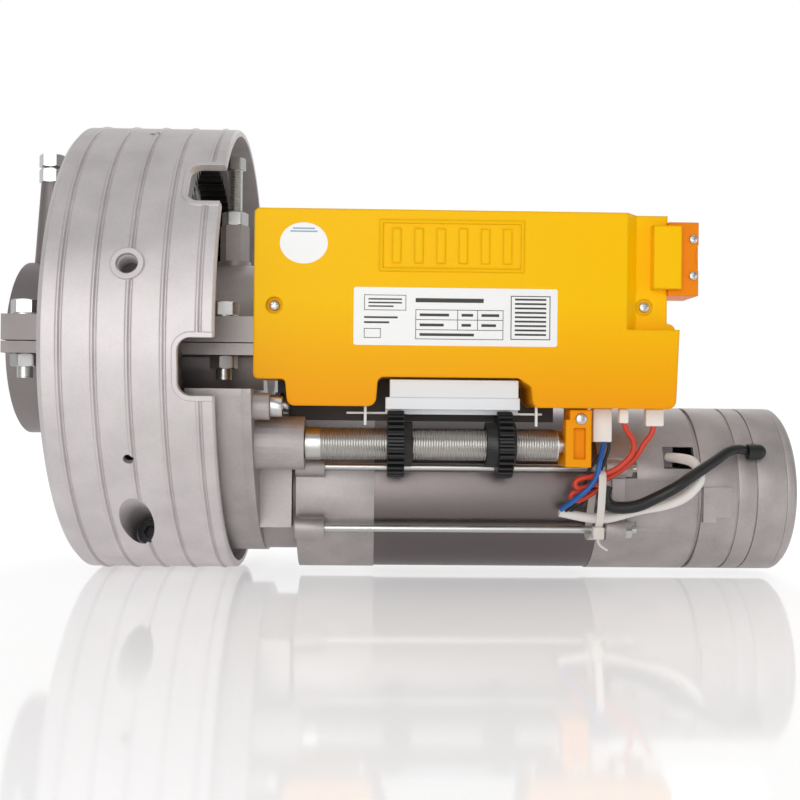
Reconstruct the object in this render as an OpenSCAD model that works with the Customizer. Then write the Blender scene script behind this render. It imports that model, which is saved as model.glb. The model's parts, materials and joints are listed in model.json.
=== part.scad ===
// Central motor for a spring-balanced roller shutter. Lengths in millimetres.
// X runs along the shutter's shaft towards the brake, Y away from the switch box's face, Z up.
// The origin is on the shaft's axis, in the middle of the crown's width.

/* [Crown] */
// Half of the crown's outer diameter over its beads
crown_r = 120; // [100:0.5:130]
// Width of the crown along the shaft
crown_w = 80; // [60:1:100]
// Inner radius of the crown's rim
crown_inner_r = 116; // [96:0.5:126]
// Thickness of the crown's disc on the clamp side
web_t = 4; // [3:0.5:8]
// Direction of the front half's middle, seen along the shaft
crown_turn = 164; // [0:1:359]
// Width of the crown's open slots, along the rim
slot_w = 26.5; // [10:0.5:40]
// Depth of the crown's open slots, along the shaft
slot_depth = 16.5; // [8:0.5:17]
// Radius of the tapped hole that takes the shutter's fixing screw
tapped_r = 5; // [3:0.25:7]
// Distance from the shaft's axis to the axis of a joining screw
joint_screw_r = 106; // [105:0.5:110]

/* [Shaft clamp] */
// Radius of the shutter shaft that the clamp holds
shaft_r = 30; // [24:0.5:31]
// Outer radius of the clamp barrel
hub_r = 47; // [42:0.5:50]
// Radius of the seat that the crown's rollers run on
seat_r = 60; // [56:0.5:62]
// Half width of the clamp flanges
flange_half = 75; // [68:1:80]
// Thickness of the upper clamp flange
flange_t = 13; // [8:0.5:14]
// Height of the lock screws' head above the shaft's axis
lock_screw_top = 107; // [90:1:115]

/* [Gears] */
// Module of the ring gear and the wheels inside it
ring_module = 2; // [1.5:0.25:2.5]
// Teeth of the ring gear
ring_teeth = 104; // [96:2:108]
// Teeth of the output pinion
pinion_teeth = 18; // [16:1:22]
// Teeth of the limit shaft's wheel
limit_teeth = 12; // [12:1:16]
// Module of the second gear pair
second_module = 1; // [0.8:0.1:1.2]
// Module of the first gear pair
first_module = 0.8; // [0.6:0.1:1]
// Pressure angle of every gear
pressure_angle = 25; // [20:1:28]

/* [Motor] */
// Motor axis, along Y
motor_y = -16; // [-20:0.5:-10]
// Motor axis, along Z
motor_z = -73.5; // [-80:0.5:-73]
// Outer radius of the motor's housings
motor_r = 43.5; // [40:0.5:44]
// Radius of the stator stack
stator_r = 43; // [38:0.5:43.5]
// Radius of the hole through the stator
stator_bore_r = 26.4; // [20:0.2:30]
// Radius of the long tie rods
tie_rod_r = 1.9; // [1.5:0.1:2.5]

/* [Limit switch unit] */
// Limit screw axis, along Y
limit_y = -78; // [-80:0.1:-76]
// Radius of the limit screw over its thread
limit_screw_r = 8; // [6:0.5:9]
// Thread pitch of the limit screw
limit_pitch = 1.25; // [1:0.25:2]
// Tip radius of the toothed limit wheels
wheel_r = 16.3; // [14:0.1:18]
// Number of teeth on a limit wheel
wheel_teeth = 28; // [24:1:36]

/* [Switch box] */
// Front face of the switch box
box_front = -92; // [-96:0.5:-90]
// Joint between the box's cover and its base
box_seam = -66; // [-72:1:-60]
// Back face of the switch box
box_back = -50; // [-52:0.5:-48]
// Top of the switch box
box_top = 63.5; // [55:0.5:70]
// Bottom of the switch box
box_bottom = -30.5; // [-34:0.5:-28]
// Wall thickness of the switch box
box_wall = 2.5; // [2:0.25:4]

/* [Hidden] */
$fn = 96;
half_w = crown_w / 2;
crown_base_r = crown_r - 0.6;
groove_depth_r = crown_r - 1.4;
split_gap = 0.15;
clamp_gap = 0.25;
ring_x0 = 8;
ring_x1 = 23;
gear_x0 = 8.5;
gear_x1 = 22.5;
ring_r = ring_module * ring_teeth / 2;
// Output shaft
output_dist = ring_module * (ring_teeth - pinion_teeth) / 2;
output_turn = -66.7;
output_y = output_dist * cos(output_turn);
output_z = output_dist * sin(output_turn);
// Limit shaft: on the ring gear's pitch, at the height that its chosen Y gives
limit_dist = ring_module * (ring_teeth - limit_teeth) / 2;
limit_z = -sqrt(limit_dist * limit_dist - limit_y * limit_y);
limit_turn = atan2(limit_z, limit_y);
// Intermediate shaft: at both centre distances from the output shaft and the motor
second_pinion = 10;
second_gear = 40;
first_pinion = 10;
first_gear = 60;
second_dist = second_module * (second_pinion + second_gear) / 2;
first_dist = first_module * (first_pinion + first_gear) / 2;
span_y = output_y - motor_y;
span_z = output_z - motor_z;
span = sqrt(span_y * span_y + span_z * span_z);
foot = (first_dist * first_dist - second_dist * second_dist + span * span) / (2 * span);
rise = sqrt(first_dist * first_dist - foot * foot);
mid_y = motor_y + foot * span_y / span - rise * span_z / span;
mid_z = motor_z + foot * span_z / span + rise * span_y / span;
mid_to_output = atan2(output_z - mid_z, output_y - mid_y);
motor_to_mid = atan2(mid_z - motor_z, mid_y - motor_y);
// Distances along the shaft
clamp_x0 = -77;
clamp_x1 = 55;
seat_x0 = -38.6;
seat_x1 = -3.5;
case_x0 = 25;
case_x1 = 51;
cover_x1 = 55.5;
case_top = -23;
case_r = 110;
shield_x0 = 73.5;
stator_x0 = 113;
stator_x1 = 227;
rear_x1 = 279;
brake_x1 = 324;
end_x = 330;
rods = [[-60, -61], [-60, -92], [28, -61], [28, -92]];
cover_bolt_at = [[-92, -31], [-56, -31], [58, -31], [92, -31], [77, -65]];
clamp_bolt_at = [[-62, -62], [-62, 62], [37, -62], [37, 62]];
lock_screw_at = [-67.5, 34];
lock_seat_z = [91.5, 69];
lock_r = 4;
lock_head_af = [13, 10];
flange_bottom = -6;
wheel_left_x = 119;
wheel_right_x = 172.6;
wheel_left_w = 8.3;
wheel_right_w = 7.4;
lever_left_x = 108.3;
lever_right_x = 190.9;
lever_y = -86;
lever_pivot_z = -25;

// Names of the parts, in the order of the calls at the end
// Part to show, or all

// ---- shared shapes ----

// Cylinder along X
module xcyl(x0, x1, r, at = [0, 0]) {
  translate([x0, at[0], at[1]]) rotate([0, 90, 0]) cylinder(h = x1 - x0, r = r);
}

// Tube along X
module xtube(x0, x1, r, inner, at = [0, 0]) {
  difference() {
    xcyl(x0, x1, r, at);
    xcyl(x0 - 1, x1 + 1, inner, at);
  }
}

// Hexagon prism along X, across flats af
module xhex(x0, x1, af, at) {
  translate([x0, at[0], at[1]]) rotate([0, 90, 0]) cylinder(h = x1 - x0, r = af / sqrt(3), $fn = 6);
}

// Hexagon prism along Z, across flats af
module zhex(z0, z1, af) {
  translate([0, 0, z0]) cylinder(h = z1 - z0, r = af / sqrt(3), $fn = 6);
}

// Plane shape in Y and Z, drawn out along X
module along_x(x0, x1) {
  translate([x0, 0, 0]) rotate([90, 0, 90]) linear_extrude(height = x1 - x0) children();
}

// Plane shape in X and Z, drawn out along Y
module along_y(y0, y1) {
  translate([0, y1, 0]) rotate([90, 0, 0]) linear_extrude(height = y1 - y0) children();
}

// Box between two corners
module block(a, b) {
  translate(a) cube([b[0] - a[0], b[1] - a[1], b[2] - a[2]]);
}

// Profile of radius and X, turned round the X axis
module turned(angle = 360) {
  rotate([0, 90, 0]) rotate_extrude(angle = angle) children();
}

// ---- gear teeth ----

function involute(a) = tan(a) * 180 / PI - a;
function half_tooth(r, rp, rb, s) =
  s / (2 * rp) * 180 / PI + involute(acos(rb / rp)) - involute(acos(min(1, rb / max(r, rb))));
function at_angle(r, a) = [r * cos(a), r * sin(a)];

// Outline of a gear: m module, z teeth, thin backlash, up and down the tooth's two heights
function gear_outline(m, z, thin, up, down, turn) =
  let (rp = m * z / 2, rb = rp * cos(pressure_angle), s = PI * m / 2 - thin)
  let (ra = rp + up, rf = rp - down, r0 = max(rb, rf), steps = 3)
  let (radii = concat([rf], [for (k = [0 : steps]) r0 + (ra - r0) * k / steps]))
  let (halves = [for (r = radii) half_tooth(r, rp, rb, s)], last = len(radii) - 1)
  [for (i = [0 : z - 1], k = [0 : 2 * last + 1])
    let (j = k <= last ? k : 2 * last + 1 - k, side = k <= last ? -1 : 1)
    if (j > 0 || rf < rb - 0.01) at_angle(radii[j], turn + 360 * i / z + side * halves[j])];

module gear(x0, x1, m, z, thin, turn, at) {
  translate([0, at[0], at[1]]) along_x(x0, x1)
    polygon(gear_outline(m, z, thin, 0.9 * m, 1.15 * m, turn));
}

// Turn that puts a wheel of z teeth in mesh inside the ring gear, in the direction a
function inner_mesh(a, z) = a - (a - output_turn) * ring_teeth / z;

// ---- swept wires ----

function unit(v) = v / norm(v);
// Smooth curve through points p, n steps in each span
function curve_at(a, b, c, d, t) =
  0.5 * (2 * b + (c - a) * t + (2 * a - 5 * b + 4 * c - d) * t * t
    + (3 * b - 3 * c + d - a) * t * t * t);
function curve(p, n) = let (last = len(p) - 1)
  concat([for (i = [0 : last - 1], k = [0 : n - 1])
    curve_at(p[max(i - 1, 0)], p[i], p[i + 1], p[min(i + 2, last)], k / n)], [p[last]]);
function way(q, i) = unit(q[min(i + 1, len(q) - 1)] - q[max(i - 1, 0)]);

// Tube along p: radius r0 at its start and r1 at its end, with a given number of sides
module tube(p, r0, r1, sides, n) {
  q = curve(p, n);
  count = len(q);
  rings = [for (i = [0 : count - 1])
    let (t = way(q, i), a = unit(cross(t, [0.1, 1, 0.05])), b = cross(a, t))
    let (r = r0 + (r1 - r0) * i / (count - 1))
    for (k = [0 : sides - 1]) q[i] + r * (cos(360 * k / sides) * a + sin(360 * k / sides) * b)];
  polyhedron(points = rings, faces = concat(
    [for (i = [0 : count - 2], k = [0 : sides - 1])
      [i * sides + k, (i + 1) * sides + k, (i + 1) * sides + (k + 1) % sides,
        i * sides + (k + 1) % sides]],
    [[for (k = [0 : sides - 1]) k]],
    [[for (k = [sides - 1 : -1 : 0]) (count - 1) * sides + k]]), convexity = 8);
}

// ---- shaft clamp and gearbox ----

// Barrel, roller seat and flanges of one clamp half, before its half is cut out
module clamp_solid(top, bottom) {
  xcyl(clamp_x0, clamp_x1, hub_r);
  xcyl(seat_x0, seat_x1, seat_r);
  xcyl(seat_x0 - 4, seat_x0, seat_r + 6);
  xcyl(seat_x1, seat_x1 + 3, seat_r + 6);
  block([-70, -flange_half, bottom], [-43, flange_half, top]);
  block([0, -flange_half, bottom], [54, flange_half, top]);
}

module clamp_bolt_holes() {
  for (p = clamp_bolt_at) translate([p[0], p[1], -30]) cylinder(h = 60, r = 4.5);
}

// Space of the gear case between its walls
module case_space() {
  difference() {
    xcyl(case_x0 + 6, case_x1 + 1, case_r - 5);
    xcyl(case_x0, case_x1 + 2, hub_r + 3);
    block([0, -150, case_top - 5], [80, 150, 150]);
    for (p = cover_bolt_at) xcyl(case_x0, case_x1 + 2, 7, p);
  }
  xcyl(case_x0 + 6, case_x1 + 1, 26, [mid_y, mid_z]);
  xcyl(case_x0 + 6, case_x1 + 1, 21.6, [output_y, output_z]);
}

module main_body() {
  color("silver") difference() {
    union() {
      difference() {
        union() {
          clamp_solid(flange_t, flange_bottom);
          // arm that carries the output shaft's inner end
          along_x(0, 6.5) polygon([[output_y - 9, output_z - 3], [output_y + 10, output_z + 3],
            [34, -20], [-2, -30]]);
          xcyl(0, 6.5, 10.5, [output_y, output_z]);
        }
        block([-100, -150, -clamp_gap], [100, 150, 150]);
      }
      difference() {
        xcyl(case_x0, case_x1, case_r);
        block([0, -150, case_top], [80, 150, 150]);
      }
    }
    xcyl(clamp_x0 - 1, clamp_x1 + 1, shaft_r);
    clamp_bolt_holes();
    case_space();
    xcyl(-1, 7, 8, [output_y, output_z]);
    xcyl(case_x0 - 1, case_x0 + 7, 10, [output_y, output_z]);
    xcyl(case_x0 + 0.5, case_x0 + 7, 6.5, [mid_y, mid_z]);
    xcyl(case_x0 - 1, case_x0 + 7, 7.5, [limit_y, limit_z]);
    for (p = cover_bolt_at) xcyl(case_x0 + 3, case_x1 + 1, 3, p);
  }
}

module clamp_cap() {
  color("silver") difference() {
    union() {
      difference() {
        clamp_solid(flange_t, flange_bottom);
        block([-100, -150, -150], [100, 150, clamp_gap]);
      }
      translate([lock_screw_at[1], 0, 0]) zhex(40, lock_seat_z[1], 14);
      translate([lock_screw_at[1], 0, 40]) cylinder(h = 9, r = 9);
      translate([lock_screw_at[0], 0, 40]) cylinder(h = lock_seat_z[0] - 40, r1 = 9.4, r2 = 6);
    }
    xcyl(clamp_x0 - 1, clamp_x1 + 1, shaft_r);
    clamp_bolt_holes();
    for (x = lock_screw_at) translate([x, 0, 20]) cylinder(h = 80, r = lock_r + 0.05);
  }
}

module clamp_bolts() {
  color("gainsboro") for (p = clamp_bolt_at) translate([p[0], p[1], 0]) {
    zhex(flange_t, flange_t + 8, 13);
    translate([0, 0, -18]) cylinder(h = 18 + flange_t, r = 3.9);
  }
}

module clamp_nuts() {
  color("gainsboro") for (p = clamp_bolt_at) translate([p[0], p[1], 0]) difference() {
    zhex(flange_bottom - 6.5, flange_bottom, 13);
    translate([0, 0, -17]) cylinder(h = 12, r = 3.95);
  }
}

module lock_screws() {
  color("gainsboro") for (i = [0, 1]) translate([lock_screw_at[i], 0, 0]) {
    translate([0, 0, 31]) cylinder(h = lock_screw_top - 38, r = lock_r);
    zhex(lock_screw_top - 7, lock_screw_top, lock_head_af[i]);
  }
}

module lock_nuts() {
  color("gainsboro") for (i = [0, 1]) translate([lock_screw_at[i], 0, lock_seat_z[i]]) difference() {
    zhex(0, 7.5, 13);
    translate([0, 0, -1]) cylinder(h = 10, r = lock_r + 0.05);
  }
}

module gearbox_cover() {
  color("silver") difference() {
    union() {
      difference() {
        xcyl(case_x1, cover_x1, case_r);
        block([0, -150, case_top], [80, 150, 150]);
        xcyl(case_x1 - 1, cover_x1 + 1, hub_r + 0.5);
      }
      for (p = cover_bolt_at) xcyl(case_x1, 63, 6.4, p);
      xcyl(case_x1, 79, 13, [limit_y, limit_z]);
      block([cover_x1 - 1, -60, -92], [71.4, -36, -60]);
      xcyl(cover_x1 - 0.5, shield_x0, 34, [motor_y, motor_z]);
    }
    xcyl(case_x1 - 1, cover_x1 + 1, 6.5, [mid_y, mid_z]);
    xcyl(cover_x1 - 2, shield_x0 + 1, 29, [motor_y, motor_z]);
    xcyl(case_x1 - 1, shield_x0 + 1, 8, [motor_y, motor_z]);
    xcyl(case_x1 - 1, 80, 5.6, [limit_y, limit_z]);
    xcyl(71, 80, 7.5, [limit_y, limit_z]);
    for (p = cover_bolt_at) xcyl(case_x1 - 1, 64, 3.2, p);
  }
}

module cover_bolts() {
  color("gainsboro") for (p = cover_bolt_at) difference() {
    union() {
      xcyl(p[0] == -56 ? 65.6 : 63, p[0] == -56 ? 69.4 : 69, 5, p);
      xcyl(34, 66, 2.95, p);
    }
    xhex(67, 72, 5, p);
  }
}

module gear_bushes() {
  color("goldenrod") {
    xtube(0, 6.5, 8, 6.05, [output_y, output_z]);
    xtube(case_x0, case_x0 + 6, 10, 7.55, [output_y, output_z]);
    xtube(case_x0 + 0.5, case_x0 + 6, 6.5, 3.85, [mid_y, mid_z]);
    xtube(case_x1, cover_x1, 6.5, 3.85, [mid_y, mid_z]);
    xtube(case_x0, case_x0 + 6, 7.5, 5.05, [limit_y, limit_z]);
    xtube(71, 79, 7.5, 5.05, [limit_y, limit_z]);
  }
}

// ---- motor and brake ----

module motor_front_shield() {
  at = [motor_y, motor_z];
  color("silver") difference() {
    union() {
      xcyl(shield_x0, stator_x0, motor_r, at);
      for (p = rods) xcyl(shield_x0, 88, 5.5, p);
    }
    xcyl(shield_x0 + 5.5, shield_x0 + 13.5, 13, at);
    xcyl(shield_x0 - 1, shield_x0 + 6, 8, at);
    xcyl(shield_x0 + 13, stator_x0 + 1, 40, at);
    for (p = rods) xcyl(shield_x0 - 1, 89, 2, p);
    // cut-back where a boss would reach into the shaft
    xcyl(shield_x0 - 1, stator_x0 + 1, shaft_r + 0.5);
  }
}

module stator_core() {
  at = [motor_y, motor_z];
  color("dimgray") difference() {
    xtube(stator_x0, stator_x1, stator_r, stator_bore_r, at);
    for (i = [0 : 23]) translate([0, motor_y, motor_z]) rotate([15 * i, 0, 0])
      block([stator_x0 - 1, stator_bore_r + 1.2, -1.8], [stator_x1 + 1, 38, 1.8]);
  }
}

module stator_windings() {
  at = [motor_y, motor_z];
  color("peru") {
    xtube(stator_x0 - 13, stator_x0 - 0.5, 38.5, 29, at);
    xtube(stator_x1 + 0.5, stator_x1 + 13, 38.5, 29, at);
    for (i = [0 : 23]) translate([0, motor_y, motor_z]) rotate([15 * i, 0, 0])
      block([stator_x0 - 2, 29.5, -1.4], [stator_x1 + 2, 37.5, 1.4]);
  }
}

module tie_rods() {
  color("gainsboro") for (p = rods) {
    xcyl(shield_x0 + 0.5, 246, tie_rod_r, p);
  }
}

module tie_rod_nuts() {
  color("gainsboro") for (p = rods) difference() {
    xhex(240, 243.5, 8, p);
    xcyl(239, 245, 1.95, p);
  }
}

module motor_bearings() {
  at = [motor_y, motor_z];
  color("lightgray") {
    xtube(shield_x0 + 5.5, shield_x0 + 13, 13, 5.05, at);
    xtube(262, 270, 13, 5.05, at);
  }
}

module rear_shield() {
  at = [motor_y, motor_z];
  color("silver") difference() {
    union() {
      xcyl(stator_x1, rear_x1, motor_r, at);
      for (p = rods) xcyl(stator_x1 + 3, 240, 5.5, p);
      // webs between the ears of the rods
      block([233.5, -62, -90], [240, -50, -62]);
      block([233.5, 20, -90], [240, 31, -62]);
    }
    for (p = rods) xcyl(240, 247, 5.1, p);
    xcyl(stator_x1 - 1, 256, 40, at);
    xcyl(255, 271, 8, at);
    xcyl(262, 271, 13, at);
    xcyl(270, rear_x1 + 1, 40, at);
    for (p = rods) xcyl(stator_x1, 241, 2, p);
    xtube(rear_x1 - 0.8, rear_x1 + 1, motor_r + 1, motor_r - 1.8, at);
    block([261, -65, -61], [277, -40, -50]);
    xcyl(stator_x1 - 1, rear_x1 + 1, shaft_r + 0.5);
  }
}

module brake_housing() {
  at = [motor_y, motor_z];
  color("silver") difference() {
    union() {
      xcyl(rear_x1, brake_x1, motor_r, at);
      // raised pads of the joint's screws
      block([280.4, -61, -88], [287, -50, -70]);
      block([287, -60.4, -85.5], [295, -50, -70]);
    }
    xtube(rear_x1 - 1, rear_x1 + 1.2, motor_r + 1, motor_r - 1.8, at);
    grommet_hole(4);
    xcyl(rear_x1 - 1, 292, 40, at);
    xcyl(291, 298, 12, at);
    xcyl(297, brake_x1 + 1, 40, at);
    xtube(298, 299.2, motor_r + 1, motor_r - 0.8, at);
    xtube(308.2, 309, motor_r + 1, motor_r - 0.8, at);
  }
}

module brake_coil() {
  at = [motor_y, motor_z];
  color("saddlebrown") difference() {
    xcyl(305.8, brake_x1, 39.5, at);
    xcyl(305, brake_x1 + 1, 8, at);
  }
}

module brake_end_cap() {
  at = [motor_y, motor_z];
  color("silver") difference() {
    translate([0, motor_y, motor_z]) turned()
      polygon([[0, brake_x1], [motor_r, brake_x1], [motor_r, end_x - 2.5], [motor_r - 2.5, end_x],
        [0, end_x]]);
    for (a = [21, 141, 261])
      xcyl(end_x - 2, end_x + 1, 3, [motor_y + 36 * cos(a), motor_z + 36 * sin(a)]);
    xcyl(end_x - 1.2, end_x + 1, 14, at);
  }
}

// ---- limit switch unit ----

module limit_bracket() {
  color("orange") difference() {
    union() {
      block([205, -88, -59], [217.5, -66, -41.5]);
      block([205, -88, -42], [217.5, -78.2, -36]);
      translate([0, 0, -36]) block([207, -88, 0], [217.5, -78.2, 4.8]);
    }
    xcyl(204, 214.5, 4.05, [limit_y, limit_z]);
    block([209, -89, -55], [214.6, -84.5, -40]);
    translate([212.3, -90, -35.6]) rotate([-90, 0, 0]) cylinder(h = 14, r = 1.6);
  }
}

module limit_bracket_screw() {
  color("gainsboro") translate([212.3, 0, -35.6]) rotate([90, 0, 0]) {
    translate([0, 0, 88]) cylinder(h = 2, r = 2.8);
    translate([0, 0, 72]) cylinder(h = 16, r = 1.55);
  }
}

module microswitches() {
  color("black") {
    block([lever_left_x - 9, -84.6, -27.6], [lever_left_x + 0.3, -72, -18]);
    block([lever_right_x + 0.9, -84.6, -27.6], [lever_right_x + 10, -72, -18]);
  }
}

// ---- switch box ----

// Points of a polygon whose corners [x, y, radius] are rounded
function unit(v) = v / norm(v);
function corner_arc(p, c, n, r) =
  let(a = unit(p - c), b = unit(n - c), half = acos(a * b) / 2, reach = r / tan(half),
    centre = c + unit(a + b) * r / sin(half), u = c + a * reach - centre,
    v = c + b * reach - centre)
  [for (k = [0 : 4]) centre + unit(u * (1 - k / 4) + v * k / 4) * r];
function rounded_outline(c) = let(m = len(c)) [for (i = [0 : m - 1])
  for (p = corner_arc([c[(i + m - 1) % m][0], c[(i + m - 1) % m][1]], [c[i][0], c[i][1]],
    [c[(i + 1) % m][0], c[(i + 1) % m][1]], c[i][2])) p];

// Outline of the box's face
module box_outline() {
  polygon(rounded_outline([[54.8, box_top, 2.5], [254.5, box_top, 3], [254.5, 11, 1],
    [258.8, 10.6, 3.4], [257.2, box_bottom, 4], [188.6, box_bottom, 3.5], [187.6, -20.5, 2.5],
    [181.5, -16.4, 2], [114.2, -16.4, 3], [113.2, box_bottom, 4], [71.2, box_bottom, 3.5],
    [70, -17.9, 2], [54.8, -17.9, 2.5]]));
}

// Space inside the box, kept one wall from its outline
module box_space(y0, y1) {
  block([57.4, y0, -15.2], [252, y1, box_top - box_wall]);
  block([73, y0, box_bottom + box_wall], [108.8, y1, 0]);
  block([108, y0, -25], [110.7, y1, 0]);
  block([187.5, y0, -18], [193, y1, 0]);
  block([191.5, y0, box_bottom + box_wall], [252, y1, 0]);
  block([252, y0, -25], [255.5, y1, 6]);
}

// Slots in the box's bottom for the lock bar and the two levers
module box_slots() {
  block([118.5, -89, -20], [183.5, -67, -12]);
  block([lever_left_x - 4, -89.2, -34], [lever_left_x + 1.6, -84.8, -15]);
  block([lever_right_x - 1.6, -89.2, -34], [lever_right_x + 4, -84.8, -15]);
}

module switch_box_base() {
  color("gold") {
    difference() {
      along_y(box_seam, box_back) box_outline();
      box_space(box_seam - 1, box_back - box_wall);
      block([254, box_seam - 1, 30], [256, -60, 55]);
    }
    difference() {
      block([207, -78, -40], [217.5, -70, box_bottom]);
      translate([212.3, -80, -35.6]) rotate([-90, 0, 0]) cylinder(h = 11, r = 1.6);
    }
    block([207, -78, box_bottom - 0.1], [217.5, box_seam + 2, box_bottom + 2]);
  }
}

module switch_box_cover() {
  color("gold") difference() {
    union() {
      difference() {
        along_y(box_front, box_seam) box_outline();
        box_space(box_front + box_wall, box_seam + 1);
      }
      // floor and sloped wall of the terminal recess
      block([237, -84, 5], [254.5, -81.5, box_top]);
      translate([0, 0, 5]) linear_extrude(height = box_top - 5)
        polygon([[229.4, box_front], [233, box_front], [239.2, -84], [239.2, -81.5], [236, -81.5]]);
      block([237, box_front + 1, 5], [254.5, -81.5, 7.6]);
      // raised panel with plain ribs
      for (i = [0 : 5]) block([120.5 + 10.6 * i, box_front - 0.7, 38], [124.5 + 10.6 * i, box_front, 54.5]);
      difference() {
        block([114.5, box_front - 0.7, 34], [183.5, box_front, 58.5]);
        block([116, box_front - 1, 35.5], [182, box_front + 1, 57]);
      }
      // holder of the inlet
      block([246.4, -90, 27.5], [254.5, -83, 58]);
      block([254, -90, 27.5], [260, -86.4, 58]);
      // pillar of the left screw
      translate([64.4, box_front, 17.2]) rotate([-90, 0, 0]) cylinder(h = 25, r = 4.6);
    }
    // terminal recess
    translate([0, 0, 7.6]) linear_extrude(height = 80)
      polygon([[232.4, box_front - 1], [239.2, -84], [246.4, -84], [246.4, -90], [262, -90],
        [262, box_front - 1]]);
    block([240, -91, 58], [262, -84, 80]);
    block([240, -91, 7.6], [262, -84, 27.5]);
    box_slots();
    block([206.5, -79, -40], [218, -65, -28]);
    translate([64.4, box_front - 1, 17.2]) rotate([-90, 0, 0]) cylinder(h = 4, r = 3.9);
    translate([64.4, box_front, 17.2]) rotate([-90, 0, 0]) cylinder(h = 30, r = 1.6);
    translate([243.4, -85, 18.9]) rotate([-90, 0, 0]) cylinder(h = 2, r = 3.9);
    translate([243.4, -85, 18.9]) rotate([-90, 0, 0]) cylinder(h = 6, r = 1.6);
  }
}

module box_screws() {
  color("gainsboro") {
    translate([64.4, 0, 17.2]) rotate([90, 0, 0]) {
      translate([0, 0, 89]) cylinder(h = 2, r = 2.6);
      translate([0, 0, 68]) cylinder(h = 21, r = 1.55);
    }
    translate([243.4, 0, 18.9]) rotate([90, 0, 0]) {
      translate([0, 0, 83]) cylinder(h = 2, r = 2.6);
      translate([0, 0, 72]) cylinder(h = 12, r = 1.55);
    }
  }
}

module box_bracket() {
  color("lightgray") difference() {
    union() {
      block([63, box_back, -30], [250, box_back + 2.5, 50]);
      block([63, box_back, -38], [205, box_back + 2.5, -29]);
      block([63, -63, -38], [65.5, box_back + 2.5, -24]);
    }
    xcyl(62, 66, 3.2, cover_bolt_at[1]);
  }
}

module run_capacitor() {
  color("whitesmoke") xcyl(76, 156, 16.5, [-71, 42]);
}

module mains_connector() {
  color("orange") difference() {
    block([254.6, -86, 24.6], [269.3, -60, 60.3]);
    for (z = [31, 40, 49]) block([258, -82, z], [271, -66, z + 5]);
    // curved relief between the two screws
    translate([279.5, -87, 43.1]) rotate([-90, 0, 0]) cylinder(h = 2.2, r = 12);
  }
}

module connector_screws() {
  color("gainsboro") for (z = [34.3, 52]) translate([266.6, 0, z]) rotate([90, 0, 0]) {
    translate([0, 0, 86]) cylinder(h = 1.6, r = 2.1);
  }
}

module rating_label() {
  color("white") block([102.3, box_front - 0.3, -1.3], [199.7, box_front, 26.3]);
}

module round_sticker() {
  color("white") translate([78.3, box_front, 46.9]) rotate([90, 0, 0]) cylinder(h = 0.3, r = 10.6);
}

// ---- wiring ----

// Insulated push-on sleeves under the box
module wire_terminals() {
  color("white") {
    block([220, -79, -47], [229.4, -71, box_bottom]);
    block([231.9, -84, -37.6], [236.4, -79.5, box_bottom]);
    block([246, -79, -39], [255, -74.5, box_bottom]);
  }
}

red_upper_path = [[234.4, -81.7, -38.7], [236, -81.5, -41], [239.3, -81, -46], [239.3, -80, -52],
  [234.4, -79, -58], [229, -78.5, -61.5], [222, -78.3, -63.6], [216, -78.3, -64.6],
  [212.4, -78.3, -66], [211.6, -78.3, -68.2], [213.8, -78.2, -69.8], [218.2, -77.8, -68.8],
  [221.6, -77.3, -67.7]];
red_lower_path = [[250.6, -76.7, -39.6], [249.2, -76.7, -43], [246.2, -76.6, -47], [242.8, -76, -53],
  [239, -75.2, -57.5], [233.4, -74.8, -62], [223.5, -74.3, -67.3], [215.5, -73.8, -70.4],
  [211, -73.4, -72.8], [210.8, -73.2, -75.2], [213.8, -73.2, -76.2], [218.2, -73.4, -74.4],
  [220.8, -73.7, -72.6]];
blue_path = [[205.8, -72, -80.8], [209, -76.5, -77.6], [213, -80, -73.8], [217.5, -81.4, -69.6],
  [221, -82.2, -64.5], [222.6, -82.4, -58], [224.2, -80, -52], [226, -77, -47.4]];
white_path = [[206, -66, -82.5], [214, -66, -84.3], [223, -66, -85.6], [231, -67.5, -85],
  [244.6, -67.5, -81.5], [257.5, -68, -79], [265.4, -69, -76], [271, -70, -72], [275.5, -70, -66.5],
  [276, -68, -61.5], [273.5, -64, -57], [269, -58, -55.6], [264.5, -51, -55.4]];
black_path = [[227.6, -75.4, -68.5], [226.6, -75.2, -73], [228, -74.7, -77.2], [233, -74.7, -79.4],
  [242.7, -75.2, -78.6], [252.5, -75.4, -74.3], [262.4, -76.4, -68.8], [270.6, -75, -63.4],
  [281.8, -70.6, -57], [290.9, -65.6, -51.8], [297.4, -61.6, -50.6], [301.8, -60, -51.2]];

module red_wire_upper() {
  color("red") tube(red_upper_path, 1.25, 1.25, 8, 4);
}

module red_wire_lower() {
  color("red") tube(red_lower_path, 1.25, 1.25, 8, 4);
}

module blue_wire() {
  color("blue") tube(blue_path, 1.2, 1.2, 8, 4);
}

module white_cable() {
  color("white") tube(white_path, 2.4, 2.4, 10, 4);
}

module black_cable() {
  color("black") tube(black_path, 3.3, 2.4, 10, 4);
}

// Hole that the grommet sits in, through the housing's wall
module grommet_hole(r) {
  translate([308.6, -70, -51.9]) rotate([-90, 0, 0]) cylinder(h = 24, r = r);
}

module cable_grommet() {
  color("black") difference() {
    union() {
      intersection() {
        grommet_hole(3.9);
        block([300, -59.7, -60], [320, -47, -40]);
      }
      xcyl(303, 308.6, 3.9, [-59.7, -51.9]);
      translate([308.6, -59.7, -51.9]) sphere(r = 3.9, $fn = 32);
    }
    xcyl(300, 320, 40, [motor_y, motor_z]);
  }
}

module cable_tie() {
  color("white") block([220.6, -69.6, -98], [225.4, -62, -89.2]);
}

// ---- crown ----

bead_x = [-29.3, -13.7, 1.8, 17.4, 33.3];

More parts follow.
